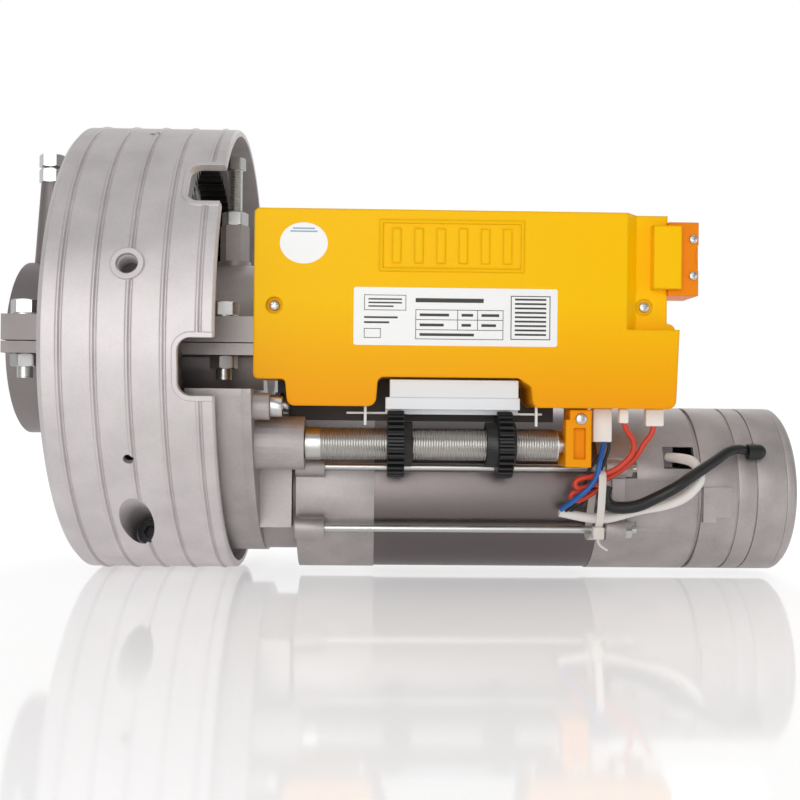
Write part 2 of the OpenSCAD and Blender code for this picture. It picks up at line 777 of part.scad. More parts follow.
module crown_profile() {
  polygon(concat(
    [[70, -half_w], [crown_base_r - 2.5, -half_w], [crown_base_r, -half_w + 2.5]],
    [for (x = bead_x, p = [[crown_base_r, x - 1.9], [crown_r, x - 1.3], [crown_r, x - 0.5],
      [groove_depth_r, x], [groove_depth_r, x + 0.7], [crown_base_r, x + 1.2]]) p],
    [[crown_base_r, half_w - 1], [crown_base_r - 1, half_w], [crown_inner_r, half_w],
      [crown_inner_r, -half_w + web_t], [75, -half_w + web_t], [75, -4], [70, -4]]));
}

// Slot's shape in X and the rim's direction, grown by g
module slot_shape(g) {
  along_y(90, 130) {
    square_x = half_w - slot_depth - g;
    translate([square_x, -slot_w / 2 + 6]) square([30, slot_w - 12]);
    translate([square_x + 6 + g, -slot_w / 2 - g]) square([30, slot_w + 2 * g]);
    for (s = [-1, 1]) translate([square_x + 6 + g, s * (slot_w / 2 - 6)]) circle(r = 6 + g);
  }
}

// One half of the crown, its middle towards +Y
module crown_half() {
  color("silver") difference() {
    union() {
      turned(180) crown_profile();
      for (a = [-23, 22.5]) rotate([a, 0, 0]) intersection() {
        slot_shape(2.4);
        xtube(15, half_w - 0.5, crown_r, crown_base_r - 1);
      }
      // tapped boss
      rotate([-90, 0, 0]) translate([0, 0, 108]) cylinder(h = crown_r + 0.8 - 108, r = 7.6);
      // bosses of the joining screws
      intersection() {
        union() {
          block([-10.6, 0, 97.1], [7.6, 62, 118]);
          block([-9.6, 0, -118], [7.4, 26, -97.1]);
        }
        xcyl(-20, 20, crown_inner_r + 1);
      }
      // ribs of the disc
      for (a = [-72, -36, 0, 36, 72]) rotate([a, 0, 0])
        block([-half_w + web_t - 1, 74, -2], [-26, crown_inner_r + 1, 2]);
    }
    block([-60, -130, -130], [60, split_gap, 130]);
    for (a = [-23, 22.5]) rotate([a, 0, 0]) slot_shape(0);
    rotate([-90, 0, 0]) translate([0, 0, 100]) cylinder(h = 30, r = tapped_r);
    for (a = [-48, 44]) rotate([a, 0, 0]) rotate([-90, 0, 0]) translate([-0.7, 0, 110])
      cylinder(h = 20, r = 2.4);
    translate([-1.4, 14, joint_screw_r]) rotate([-90, 0, 0]) cylinder(h = 70, r = 8.1);
    translate([-1, -1, joint_screw_r]) rotate([-90, 0, 0]) cylinder(h = 20, r = 4.2);
    translate([-1, -1, -joint_screw_r]) rotate([-90, 0, 0]) cylinder(h = 22, r = 4);
  }
}

module crown_half_front() {
  rotate([crown_turn, 0, 0]) crown_half();
}

module crown_half_rear() {
  rotate([crown_turn + 180, 0, 0]) crown_half();
}

// Half of the ring gear; the cut follows the crown's
module ring_gear_half(turn) {
  color("slategray") difference() {
    xcyl(ring_x0, ring_x1, crown_inner_r);
    along_x(ring_x0 - 1, ring_x1 + 1)
      polygon(gear_outline(ring_module, ring_teeth, -0.2, 1.15 * ring_module,
        0.9 * ring_module, output_turn));
    rotate([turn, 0, 0]) block([0, -130, -130], [30, split_gap, 130]);
  }
}

module ring_gear_front() {
  ring_gear_half(crown_turn);
}

module ring_gear_rear() {
  ring_gear_half(crown_turn + 180);
}

module crown_joint_screws() {
  color("dimgray") for (a = [crown_turn, crown_turn + 180]) rotate([a, 0, 0])
    translate([-1, 0, joint_screw_r]) rotate([-90, 0, 0]) difference() {
      union() {
        translate([0, 0, 14]) cylinder(h = 8, r = 6.5);
        translate([0, 0, -18]) cylinder(h = 32, r = 3.9);
      }
      zhex(18, 23, 6);
    }
}

module roller_cage() {
  color("ivory") difference() {
    xtube(-37.6, -4.5, 68.8, 61.2);
    for (i = [0 : 15]) rotate([22.5 * i, 0, 0]) xcyl(-36, -6, 5.2, [65, 0]);
  }
}

module rollers() {
  color("lightgray") for (i = [0 : 15]) rotate([22.5 * i, 0, 0])
    xcyl(-35.8, -6.2, 4.95, [65, 0]);
}

// ---- gear train ----

module output_pinion() {
  at = [output_y, output_z];
  color("slategray") {
    gear(gear_x0, gear_x1, ring_module, pinion_teeth, 0.2, output_turn, at);
    xcyl(0.5, gear_x0, 6, at);
    xcyl(gear_x1, case_x0 + 6.4, 7.5, at);
    xcyl(case_x0 + 6.4, 43, 6, at);
  }
}

module output_gear() {
  at = [output_y, output_z];
  color("slategray") difference() {
    gear(32, 42, second_module, second_gear, 0.1, mid_to_output + 180, at);
    xcyl(31, 43.5, 6, at);
  }
}

module mid_pinion() {
  at = [mid_y, mid_z];
  color("slategray") {
    gear(32, 42, second_module, second_pinion, 0.1, mid_to_output + 180 / second_pinion, at);
    xcyl(case_x0 + 1, 32, 3.8, at);
    xcyl(42, cover_x1 - 0.5, 3.8, at);
  }
}

module mid_gear() {
  at = [mid_y, mid_z];
  color("slategray") difference() {
    gear(44, 50, first_module, first_gear, 0.08, motor_to_mid + 180, at);
    xcyl(43, 51, 3.8, at);
    for (i = [0 : 4]) translate([0, mid_y, mid_z]) rotate([72 * i, 0, 0])
      xcyl(43, 51, 5, [14, 0]);
  }
}

module rotor_shaft() {
  at = [motor_y, motor_z];
  color("lightgray") {
    gear(44, 50, first_module, first_pinion, 0.08, motor_to_mid + 180 / first_pinion, at);
    xcyl(50, 90, 5, at);
    xcyl(90, 260, 6, at);
    xcyl(260, 304, 5, at);
  }
}

module rotor_core() {
  at = [motor_y, motor_z];
  color("dimgray") xtube(115, 225, 26, 6, at);
}

module brake_disc() {
  at = [motor_y, motor_z];
  color("dimgray") xtube(297.2, 300.95, 34, 5, at);
}

module brake_armature() {
  at = [motor_y, motor_z];
  color("gray") xtube(301, 305.2, 36, 8, at);
}

module limit_screw() {
  at = [limit_y, limit_z];
  turns = floor((203 - 86) / limit_pitch);
  color("gainsboro") {
    gear(gear_x0, gear_x1, ring_module, limit_teeth, 0.2, inner_mesh(limit_turn, limit_teeth), at);
    xcyl(gear_x1, 79.5, 5, at);
    xcyl(79.5, 86, limit_screw_r, at);
    translate([0, limit_y, limit_z]) turned()
      polygon(concat([[0, 86], [limit_screw_r, 86]],
        [for (i = [0 : turns - 1], k = [0, 1]) [limit_screw_r - 0.7 * (1 - k),
          86 + (i + 0.5 + 0.5 * k) * limit_pitch]],
        [[0, 86 + turns * limit_pitch]]));
    xcyl(86 + turns * limit_pitch, 213.5, 4, at);
  }
}

module limit_wheel(x0, w, hub0, hub1) {
  at = [limit_y, limit_z];
  color("black") difference() {
    union() {
      translate([0, limit_y, limit_z]) along_x(x0, x0 + w)
        polygon([for (i = [0 : wheel_teeth - 1], k = [0 : 3])
          at_angle([13.9, wheel_r, wheel_r, 13.9][k],
            90 + 360 * (i + 0.5) / wheel_teeth + [-3.6, -2.4, 2.4, 3.6][k])]);
      xcyl(hub0, hub1, 11, at);
    }
    xcyl(hub0 - 1, hub1 + 1, limit_screw_r + 0.08, at);
  }
}

module limit_wheel_left() {
  limit_wheel(wheel_left_x, wheel_left_w, wheel_left_x, wheel_left_x + wheel_left_w + 4);
}

module limit_wheel_right() {
  limit_wheel(wheel_right_x, wheel_right_w, wheel_right_x - 5.5,
    wheel_right_x + wheel_right_w + 1.5);
}

module lock_bar() {
  color("white") {
    block([120, -88, -26], [182, -68, -17.4]);
    block([118, -86, -31.8], [183, -70, -26]);
    block([118, -78.4, -34.3], [183, -77.6, -31.8]);
    block([99, -78.4, -34.3], [195, -77.6, -33.2]);
  }
}

module lever(x) {
  translate([x, lever_y, -39.5]) cylinder(h = 39.5 + lever_pivot_z, r = 0.7);
  translate([x, lever_y - 1.2, lever_pivot_z]) rotate([-90, 0, 0]) cylinder(h = 2.4, r = 1.4);
}

module lever_left() {
  color("white") lever(lever_left_x);
}

module lever_right() {
  color("white") lever(lever_right_x);
}

main_body();
clamp_cap();
clamp_bolts();
clamp_nuts();
lock_screws();
lock_nuts();
gearbox_cover();
cover_bolts();
gear_bushes();
motor_front_shield();
stator_core();
stator_windings();
tie_rods();
tie_rod_nuts();
motor_bearings();
rear_shield();
brake_housing();
brake_coil();
brake_end_cap();
limit_bracket();
limit_bracket_screw();
box_bracket();
switch_box_base();
switch_box_cover();
box_screws();
microswitches();
run_capacitor();
mains_connector();
connector_screws();
rating_label();
round_sticker();
wire_terminals();
red_wire_upper();
red_wire_lower();
blue_wire();
white_cable();
black_cable();
cable_grommet();
cable_tie();
crown_half_front();
crown_half_rear();
ring_gear_front();
ring_gear_rear();
crown_joint_screws();
roller_cage();
rollers();
output_pinion();
output_gear();
mid_pinion();
mid_gear();
rotor_shaft();
rotor_core();
brake_disc();
limit_screw();
limit_wheel_left();
limit_wheel_right();
lock_bar();
lever_left();
lever_right();
brake_armature();
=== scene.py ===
"""Roller shutter motor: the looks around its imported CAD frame.

X runs along the shutter's shaft, -Y faces the viewer and Z is up. Places are in metres, and lengths
are in mm where a function says so. The axes of the motor and screws come from the frame's nodes.
"""

import json
import math

import bmesh
import bpy
from mathutils import Matrix, Vector

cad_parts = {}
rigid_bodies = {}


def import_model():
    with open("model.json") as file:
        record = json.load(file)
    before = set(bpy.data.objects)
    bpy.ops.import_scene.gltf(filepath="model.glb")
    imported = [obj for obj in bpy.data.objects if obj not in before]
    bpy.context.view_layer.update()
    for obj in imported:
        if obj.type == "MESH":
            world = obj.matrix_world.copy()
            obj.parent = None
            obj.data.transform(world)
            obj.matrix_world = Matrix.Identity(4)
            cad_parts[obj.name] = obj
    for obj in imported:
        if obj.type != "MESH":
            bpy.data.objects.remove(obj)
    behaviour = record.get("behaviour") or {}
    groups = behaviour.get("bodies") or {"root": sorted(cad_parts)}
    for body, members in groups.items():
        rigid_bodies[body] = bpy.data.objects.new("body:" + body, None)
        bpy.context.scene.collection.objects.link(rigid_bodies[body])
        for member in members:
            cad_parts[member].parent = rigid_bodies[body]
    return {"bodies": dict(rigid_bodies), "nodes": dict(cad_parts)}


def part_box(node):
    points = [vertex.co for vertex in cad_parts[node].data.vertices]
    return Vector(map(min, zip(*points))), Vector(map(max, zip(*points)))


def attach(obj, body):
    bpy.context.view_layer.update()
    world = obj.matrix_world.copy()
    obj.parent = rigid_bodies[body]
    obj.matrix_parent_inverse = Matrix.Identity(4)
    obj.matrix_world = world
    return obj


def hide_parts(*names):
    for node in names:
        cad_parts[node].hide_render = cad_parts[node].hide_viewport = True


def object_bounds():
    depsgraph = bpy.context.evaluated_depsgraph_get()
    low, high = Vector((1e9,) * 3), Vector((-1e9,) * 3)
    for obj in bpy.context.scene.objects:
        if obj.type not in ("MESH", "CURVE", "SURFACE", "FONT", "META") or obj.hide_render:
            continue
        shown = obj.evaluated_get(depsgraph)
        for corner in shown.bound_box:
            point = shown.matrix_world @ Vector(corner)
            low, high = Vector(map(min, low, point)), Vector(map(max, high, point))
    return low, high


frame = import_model()
cad_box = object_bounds()
bpy.context.scene.view_settings.view_transform = "Standard"
MM = 0.001
NODES = frame["nodes"]


# ---- materials ----


def rgb(r, g, b):
    """Linear colour from a colour on the usual 0 to 255 scale."""
    return tuple((v / 255) ** 2.2 for v in (r, g, b)) + (1.0,)


def shade(colour, factor):
    return tuple(min(1.0, v * factor) for v in colour[:3]) + (1.0,)


def surface(name, colour, rough, metal=0.0, mottle=0.06, mottle_mm=14, speck=0.0, speck_mm=0.9,
            rough_spread=0.06, bump=0.1, bump_mm=0.5, depth_mm=0.05, stretch=(1, 1, 1), edge_mm=0.0,
            fade=None, **sockets):
    """A patterned material: its colour varies softly over mottle_mm and finely over speck_mm,
    its roughness varies with the first, and a grain of bump_mm roughens its surface. Edges look
    rounded by edge_mm, and fade = (colour, axis, from mm, to mm) changes to that colour towards
    the low end of the axis, as painted shade."""
    mat = bpy.data.materials.new(name)
    mat.use_nodes = True
    tree = mat.node_tree
    node, link = tree.nodes.new, tree.links.new
    shader = tree.nodes["Principled BSDF"]
    shader.inputs["Metallic"].default_value = metal
    for socket, value in sockets.items():
        shader.inputs[socket.replace("_", " ").title().replace("Ior", "IOR")].default_value = value

    coords = node("ShaderNodeTexCoord")
    scaled = node("ShaderNodeMapping")
    scaled.inputs["Scale"].default_value = stretch
    link(coords.outputs["Object"], scaled.inputs["Vector"])

    def pattern(size_mm, detail):
        tex = node("ShaderNodeTexNoise")
        tex.inputs["Scale"].default_value = 1 / (size_mm * MM)
        tex.inputs["Detail"].default_value = detail
        link(scaled.outputs["Vector"], tex.inputs["Vector"])
        return tex.outputs["Fac"]

    soft, fine = pattern(mottle_mm, 4), pattern(speck_mm, 2)
    tint = node("ShaderNodeMix")
    tint.data_type = "RGBA"
    tint.inputs["A"].default_value = shade(colour, 1 - mottle)
    tint.inputs["B"].default_value = shade(colour, 1 + mottle)
    link(soft, tint.inputs["Factor"])
    specks = node("ShaderNodeMix")
    specks.data_type = "RGBA"
    specks.blend_type = "MULTIPLY"
    specks.inputs["B"].default_value = (1 - speck, 1 - speck, 1 - speck, 1)
    link(tint.outputs["Result"], specks.inputs["A"])
    link(fine, specks.inputs["Factor"])
    link(specks.outputs["Result"], shader.inputs["Base Color"])
    # painted shade: the colour blends to the fade colour towards the low end of one axis
    if fade:
        other, axis, low_mm, high_mm = fade
        place = node("ShaderNodeSeparateXYZ")
        link(coords.outputs["Object"], place.inputs["Vector"])
        share = node("ShaderNodeMapRange")
        share.inputs["From Min"].default_value = low_mm * MM
        share.inputs["From Max"].default_value = high_mm * MM
        link(place.outputs[axis], share.inputs["Value"])
        blend = node("ShaderNodeMix")
        blend.data_type = "RGBA"
        blend.inputs["A"].default_value = other
        link(share.outputs["Result"], blend.inputs["Factor"])
        link(specks.outputs["Result"], blend.inputs["B"])
        link(blend.outputs["Result"], shader.inputs["Base Color"])

    gloss = node("ShaderNodeMapRange")
    gloss.inputs["To Min"].default_value = max(0.02, rough - rough_spread)
    gloss.inputs["To Max"].default_value = min(1.0, rough + rough_spread)
    link(soft, gloss.inputs["Value"])
    link(gloss.outputs["Result"], shader.inputs["Roughness"])

    grain = node("ShaderNodeBump")
    grain.inputs["Strength"].default_value = bump
    grain.inputs["Distance"].default_value = depth_mm * MM
    link(pattern(bump_mm, 3), grain.inputs["Height"])
    link(grain.outputs["Normal"], shader.inputs["Normal"])
    if edge_mm:
        soft_edge = node("ShaderNodeBevel")
        soft_edge.samples = 6
        soft_edge.inputs["Radius"].default_value = edge_mm * MM
        link(soft_edge.outputs["Normal"], grain.inputs["Normal"])
    return mat


MAT = {
    "cast": surface("cast_aluminium", rgb(186, 179, 178), 0.5, metal=0.7, mottle=0.3,
                    mottle_mm=16, speck=0.18, speck_mm=1.1, bump=0.4, bump_mm=0.9, depth_mm=0.1,
                    rough_spread=0.1),
    "crown": surface("crown_aluminium", rgb(216, 210, 210), 0.54, metal=0.65, mottle=0.2,
                     mottle_mm=20, speck=0.12, speck_mm=1.2, bump=0.35, bump_mm=1.0,
                     depth_mm=0.08, rough_spread=0.08, edge_mm=0.7),
    # clamp aluminium with painted shade: darker towards -X, over the collar behind the crown and
    # inside it
    "clamp": surface("clamp_aluminium", rgb(186, 179, 178), 0.5, metal=0.7, mottle=0.3,
                     mottle_mm=16, speck=0.18, speck_mm=1.1, bump=0.4, bump_mm=0.9,
                     depth_mm=0.1, rough_spread=0.1, fade=(rgb(140, 133, 132), "X", -45, 25)),
    "zinc": surface("zinc_plated_steel", rgb(208, 208, 206), 0.34, metal=1.0, mottle=0.05,
                    mottle_mm=5, speck=0.06, speck_mm=0.5, bump=0.05, bump_mm=0.3),
    "thread": surface("turned_steel", rgb(205, 203, 200), 0.32, metal=1.0, mottle=0.08,
                      mottle_mm=4, bump=0.1, bump_mm=0.3, stretch=(4, 1, 1)),
    "stator": surface("ground_lamination", rgb(122, 114, 114), 0.34, metal=1.0, mottle=0.05,
                      mottle_mm=30, speck=0.12, speck_mm=0.5, bump=0.3, bump_mm=0.5,
                      stretch=(2.2, 0.05, 0.05)),
    "bearing": surface("ground_steel", rgb(190, 190, 192), 0.22, metal=1.0, bump=0.1),
    "black_steel": surface("black_oxide_steel", rgb(52, 52, 54), 0.35, metal=0.9, bump=0.2),
    # box bracket steel with painted shade: dark grey standing in for the shade behind the limit
    # screw
    "dark_steel": surface("painted_steel", rgb(74, 71, 70), 0.5, metal=0.3, bump=0.2),
    "bronze": surface("oiled_bronze", rgb(176, 130, 70), 0.4, metal=1.0, bump=0.2),
    "copper": surface("lacquered_copper", rgb(190, 96, 48), 0.3, metal=0.9, bump=0.6,
                      bump_mm=0.6, depth_mm=0.3, stretch=(1, 0.2, 0.2)),
    "friction": surface("friction_lining", rgb(60, 56, 52), 0.8, speck=0.4, bump=0.4),
    # yellow plastic with painted shade: its colour turns orange towards the bottom of the box
    "yellow": surface("yellow_plastic", rgb(254, 194, 0), 0.4, mottle=0.025, mottle_mm=40,
                      bump=0.12, bump_mm=0.7, depth_mm=0.03, edge_mm=1.6,
                      fade=(rgb(245, 156, 14), "Z", -34, 20), specular_ior_level=0.12),
    "orange": surface("orange_plastic", rgb(240, 134, 10), 0.4, edge_mm=0.7,
                      specular_ior_level=0.2, mottle=0.03, mottle_mm=25,
                      bump=0.12, bump_mm=0.6),
    "black": surface("black_plastic", rgb(28, 28, 29), 0.42, mottle=0.1, speck=0.1, bump=0.2,
                     bump_mm=0.5),
    "white": surface("white_plastic", rgb(236, 236, 232), 0.4, mottle=0.02, bump=0.12),
    "milky": surface("milky_plastic", rgb(240, 242, 244), 0.32, mottle=0.02, bump=0.1,
                     transmission_weight=0.1, ior=1.45),
    "paper": surface("label_paper", rgb(246, 246, 244), 0.34, mottle=0.015, mottle_mm=12,
                     speck=0.02, bump=0.05),
    "print": surface("label_print", rgb(58, 56, 54), 0.5, mottle=0.1, mottle_mm=2, bump=0.05),
    "faint_print": surface("faint_print", rgb(150, 172, 196), 0.5, mottle=0.1, bump=0.05),
    "red": surface("red_insulation", rgb(206, 62, 40), 0.36, mottle=0.06, mottle_mm=5, bump=0.1),
    "blue": surface("blue_insulation", rgb(26, 92, 168), 0.36, mottle=0.06, mottle_mm=5,
                    bump=0.1),
    "cable_white": surface("cable_white", rgb(232, 228, 224), 0.45, mottle=0.04, mottle_mm=8,
                           speck=0.04, bump=0.25, bump_mm=1.5),
    "tie": surface("tie_nylon", rgb(230, 224, 216), 0.4, mottle=0.04, mottle_mm=6, bump=0.1,
                   transmission_weight=0.15),
    "gear_steel": surface("greased_gear_steel", rgb(74, 72, 70), 0.34, metal=0.9, mottle=0.2,
                          mottle_mm=6, bump=0.2),
    "nylon": surface("cage_nylon", rgb(226, 220, 196), 0.5, mottle=0.04, bump=0.2),
    "floor": surface("pale_floor", rgb(240, 240, 241), 0.07, mottle=0.004, mottle_mm=400,
                     speck=0.0, rough_spread=0.01, bump=0.0, emission_strength=0.32),
}

BY_NODE = {
    "cast": "gearbox_cover motor_front_shield rear_shield brake_housing brake_end_cap",
    "clamp": "main_body clamp_cap",
    "crown": "crown_half_front crown_half_rear",
    "zinc": "clamp_bolts clamp_nuts lock_screws lock_nuts cover_bolts tie_rods tie_rod_nuts "
            "limit_bracket_screw box_screws connector_screws",
    "thread": "limit_screw",
    "stator": "stator_core rotor_core",
    "bearing": "motor_bearings rollers rotor_shaft brake_armature",
    "gear_steel": "mid_pinion mid_gear output_pinion output_gear ring_gear_front ring_gear_rear",
    "black_steel": "crown_joint_screws",
    "dark_steel": "box_bracket",
    "bronze": "gear_bushes",
    "copper": "stator_windings brake_coil",
    "friction": "brake_disc",
    "orange": "mains_connector",
    "yellow": "switch_box_base switch_box_cover limit_bracket",
    "black": "microswitches limit_wheel_left limit_wheel_right cable_grommet black_cable",
    "white": "run_capacitor wire_terminals white_cable cable_tie lever_left lever_right",
    "milky": "lock_bar",
    "paper": "rating_label round_sticker",
    "red": "red_wire_upper red_wire_lower",
    "blue": "blue_wire",
    "nylon": "roller_cage",
}
for key, names in BY_NODE.items():
    for name in names.split():
        NODES[name].data.materials.clear()
        NODES[name].data.materials.append(MAT[key])


# ---- making pieces ----

X, Y, Z = Vector((1, 0, 0)), Vector((0, 1, 0)), Vector((0, 0, 1))


def piece(name, bm, mat, body, stands_for=(), smooth=35):
    """A finished object from a bmesh in metres: smooth below the given angle, riding on body."""
    bm.normal_update()
    mesh = bpy.data.meshes.new(name)
    for face in bm.faces:
        face.smooth = True
    for edge in bm.edges:
        if len(edge.link_faces) == 2 and edge.calc_face_angle(0) > math.radians(smooth):
            edge.smooth = False
    bm.to_mesh(mesh)
    bm.free()
    mesh.materials.append(MAT[mat])
    o = bpy.data.objects.new(name, mesh)
    bpy.context.collection.objects.link(o)
    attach(o, body)
    if stands_for:
        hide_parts(*stands_for)
    return o


def grid(bm, rows, closed_rows=False, closed_columns=True, caps=True):
    """Faces between rows of points; the first and last row are capped unless rows close."""
    verts = [[bm.verts.new(p) for p in row] for row in rows]
    count = len(rows[0])
    pairs = len(rows) if closed_rows else len(rows) - 1
    for i in range(pairs):
        low, high = verts[i], verts[(i + 1) % len(rows)]
        for j in range(count if closed_columns else count - 1):
            k = (j + 1) % count
            bm.faces.new((low[j], low[k], high[k], high[j]))
    if caps and not closed_rows:
        bm.faces.new(verts[0][::-1])
        bm.faces.new(verts[-1])
    return verts


def basis(axis):
    """Two directions square to axis."""
    axis = axis.normalized()
    side = axis.cross(Z if abs(axis.z) < 0.9 else X).normalized()
    return side, axis.cross(side)


def lathe(bm, profile, origin, axis, count=48, caps=True, shape=None):
    """Turns (distance, radius) pairs in mm round axis; shape(angle) scales the radius."""
    u, v = basis(axis)
    rows = []
    for along, radius in profile:
        ring = []
        for k in range(count):
            a = 2 * math.pi * k / count
            r = radius * (shape(a, along, radius) if shape else 1) * MM
            ring.append(origin + axis * along * MM + (u * math.cos(a) + v * math.sin(a)) * r)
        rows.append(ring)
    return grid(bm, rows, caps=caps)


def face_out(bm):
    bmesh.ops.recalc_face_normals(bm, faces=bm.faces[:])


def smooth_path(points, steps=10):
    """A smooth curve through points in mm, as the CAD draws its wires, in metres."""
    points = [Vector(p) for p in points]
    last = len(points) - 1
    out = []
    for i in range(last):
        a, b = points[max(i - 1, 0)], points[i]
        c, d = points[i + 1], points[min(i + 2, last)]
        for k in range(steps):
            t = k / steps
            out.append(0.5 * (2 * b + (c - a) * t + (2 * a - 5 * b + 4 * c - d) * t * t
                              + (3 * b - 3 * c + d - a) * t ** 3) * MM)
    return out + [points[-1] * MM]


def tube(bm, path, radius, sides=18, caps=True):
    """A tube along path in metres: radius in mm, a number or a function of 0 to 1."""
    side = None
    rows = []
    count = len(path)
    for i, p in enumerate(path):
        way = (path[min(i + 1, count - 1)] - path[max(i - 1, 0)]).normalized()
        if side is None:
            side = way.cross(Y).normalized() if abs(way.y) < 0.9 else way.cross(Z).normalized()
        side = (side - way * side.dot(way)).normalized()
        up = way.cross(side)
        r = radius(i / (count - 1)) if callable(radius) else radius
        ring = []
        for k in range(sides):
            a = 2 * math.pi * k / sides
            ring.append(p + (side * math.cos(a) + up * math.sin(a)) * r * MM)
        rows.append(ring)
    return grid(bm, rows, caps=caps)


def rounded(name, width, segments, wide, wide_mm, angle=33):
    """Stands a copy of a CAD node in its place, with its sharp edges rounded by width mm, and by
    wide_mm where wide(edge) is true."""
    node = NODES[name]
    bm = bmesh.new()
    bm.from_mesh(node.data)
    bmesh.ops.remove_doubles(bm, verts=bm.verts, dist=2e-6)
    bmesh.ops.dissolve_limit(bm, angle_limit=math.radians(0.8), verts=bm.verts, edges=bm.edges)
    bm.normal_update()

    def sharp(edge):
        return len(edge.link_faces) == 2 and edge.calc_face_angle(0) > math.radians(angle)

    chosen = [e for e in bm.edges if sharp(e) and wide(e)]
    bmesh.ops.bevel(bm, geom=chosen, offset=wide_mm * MM, segments=6, affect="EDGES",
                    profile=0.5, clamp_overlap=True)
    bm.normal_update()
    chosen = [e for e in bm.edges if sharp(e)]
    bmesh.ops.bevel(bm, geom=chosen, offset=width * MM, segments=segments, affect="EDGES",
                    profile=0.5, clamp_overlap=True)
    bmesh.ops.triangulate(bm, faces=[f for f in bm.faces if len(f.verts) > 4])
    body = node.parent.name
    for key, value in frame["bodies"].items():
        if value is node.parent:
            body = key
    o = piece(name + "_cast", bm, MATERIAL_OF[name], body, (name,), smooth=40)
    flat = o.modifiers.new("flat_faces", "WEIGHTED_NORMAL")
    flat.keep_sharp = True
    flat.weight = 100
    return o


def soften(name, width_mm, segments=2, angle=33):
    """Rounds the sharp edges of a CAD node by modifiers, which leave its own mesh as it is."""
    o = NODES[name]
    weld = o.modifiers.new("weld", "WELD")
    weld.merge_threshold = 1e-6
    flat = o.modifiers.new("flat", "DECIMATE")
    flat.decimate_type = "DISSOLVE"
    flat.angle_limit = math.radians(0.6)
    edge = o.modifiers.new("edge", "BEVEL")
    edge.width = width_mm * MM
    edge.segments = segments
    edge.limit_method = "ANGLE"
    edge.angle_limit = math.radians(angle)
    edge.harden_normals = True


MATERIAL_OF = {name: key for key, names in BY_NODE.items() for name in names.split()}

for name in ("main_body clamp_cap gearbox_cover motor_front_shield rear_shield brake_end_cap "
             "brake_housing").split():
    soften(name, 0.8, 3)
for name in "limit_bracket mains_connector wire_terminals".split():
    soften(name, 0.7, 3)
for name in "lock_bar limit_wheel_left limit_wheel_right cover_bolts brake_disc".split():
    soften(name, 0.35, 2)
soften("switch_box_base", 1.2, 3)


# ---- switch box cover: broad roundings round its face ----

label_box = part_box("rating_label")
FRONT = label_box[1].y


def on_face_outline(edge):
    return all(abs(v.co.y - FRONT) < 1e-5 for v in edge.verts) and edge_is_outer(edge)


def edge_is_outer(edge):
    """True on the face's outline, where one of the two faces is a side wall of the box."""
    for f in edge.link_faces:
        n = f.normal
        if abs(n.y) < 0.2:
            reach = (f.calc_center_median().y - FRONT)
            return reach > 3 * MM
        if 0.2 <= abs(n.y) < 0.95:
            return True
    return False


rounded("switch_box_cover", 0.3, 2, on_face_outline, 2.1)


# ---- threads and hexagon screws ----


def helix(bm, start, axis, length, pitch, outer, depth, sides=40, per_turn=6, caps=True,
          inner=False):
    """A right-hand thread in mm along axis from start, its crest at outer and its root below."""
    steps = max(2, round(length / pitch * per_turn))
    u, v = basis(axis)
    rows = []
    for i in range(steps + 1):
        along = length * i / steps
        fade = min(1.0, along / pitch, (length - along) / pitch)
        ring = []
        for k in range(sides):
            a = 2 * math.pi * k / sides
            phase = (along / pitch - k / sides) % 1.0
            tooth = abs(2 * phase - 1)
            drop = depth * max(0.0, min(1.0, (tooth - 0.12) / 0.76)) * fade
            r = (outer - drop) if not inner else (outer - depth * fade + drop)
            ring.append(start + axis * along * MM + (u * math.cos(a) + v * math.sin(a)) * r * MM)
        rows.append(ring)
    return grid(bm, rows, caps=caps)


def hexagon(bm, base, axis, flats, height, bore=0.0, both=False, turn=0.0, dish=0.0):
    """A hexagon head or nut in mm on base, chamfered round its corners as turned heads are."""
    u, v = basis(axis)
    around = 72
    half = flats / 2

    def ring(r_of, h_of):
        out = []
        for k in range(around):
            a = 2 * math.pi * k / around
            corner = half / math.cos((a + turn) % (math.pi / 3) - math.pi / 6)
            out.append(base + axis * h_of(corner) * MM
                       + (u * math.cos(a) + v * math.sin(a)) * r_of(corner) * MM)
        return out

    cut = 0.577
    low = (lambda c: max(0.0, (c - half) * cut)) if both else (lambda c: 0.0)
    rows = []
    if bore:
        rows.append(ring(lambda c: bore, lambda c: 0.6 if both else 0.0))
        rows.append(ring(lambda c: bore + 0.5, lambda c: 0.0))
    if both:
        rows.append(ring(lambda c: half * 0.97, lambda c: 0.0))
    rows.append(ring(lambda c: c, low))
    rows.append(ring(lambda c: c, lambda c: height - max(0.0, (c - half * 0.98) * cut)))
    rows.append(ring(lambda c: half * 0.96, lambda c: height))
    if bore:
        rows.append(ring(lambda c: bore + 0.5, lambda c: height))
        rows.append(ring(lambda c: bore, lambda c: height - 0.5))
        grid(bm, rows, closed_rows=True)
    else:
        if dish:
            rows.append(ring(lambda c: half * 0.66, lambda c: height))
            rows.append(ring(lambda c: half * 0.6, lambda c: height - dish))
        grid(bm, rows)


def island_boxes(name):
    """Lowest and highest corner of each separate solid of a CAD node."""
    bm = bmesh.new()
    bm.from_mesh(NODES[name].data)
    bmesh.ops.remove_doubles(bm, verts=bm.verts, dist=2e-6)
    left, out = set(bm.verts), []
    while left:
        stack, seen = [left.pop()], []
        while stack:
            vert = stack.pop()
            seen.append(vert.co.copy())
            for e in vert.link_edges:
                other = e.other_vert(vert)
                if other in left:
                    left.remove(other)
                    stack.append(other)
        out.append((Vector([min(c[i] for c in seen) for i in range(3)]),
                    Vector([max(c[i] for c in seen) for i in range(3)])))
    bm.free()
    return out


